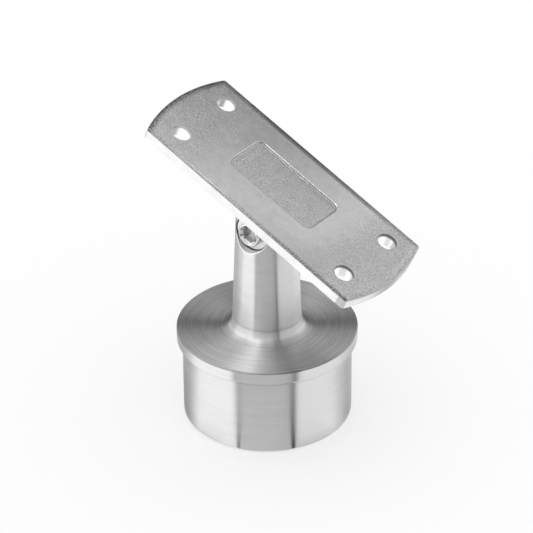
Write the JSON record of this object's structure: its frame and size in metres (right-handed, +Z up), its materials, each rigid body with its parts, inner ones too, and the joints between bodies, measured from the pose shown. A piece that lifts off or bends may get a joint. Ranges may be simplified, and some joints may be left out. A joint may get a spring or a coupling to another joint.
{
  "type": "handrail post top saddle",
  "caption": "Tilting handrail saddle for the top of a round post: plugged flange cap, forked stem, cross screw and drilled plate.",
  "frame": {"origin": "on the post's axis, at the flange's underside, where the post tube's end seats", "axes": "+Z up along the post, +Y along the cross screw's axis away from its head, +X towards the saddle's lower end"},
  "size_m": [0.0736, 0.0508, 0.0902],
  "materials": {
    "brushed_casting": "turned and brushed stainless steel",
    "cast_plate": "investment cast stainless steel, lightly brushed",
    "screw": "bright stainless steel"
  },
  "bodies": {
    "post": {"post_cap": "brushed_casting", "pivot_screw": "screw"},
    "tilting_saddle": {"saddle": "cast_plate"}
  },
  "joints": [
    {"name": "saddle_tilt", "type": "hinge", "parent": "post", "child": "tilting_saddle", "pos_m": [0, 0, 0.037], "axis": [0, 1, 0], "range_deg": [-84.4, 35.6]}
  ]
}
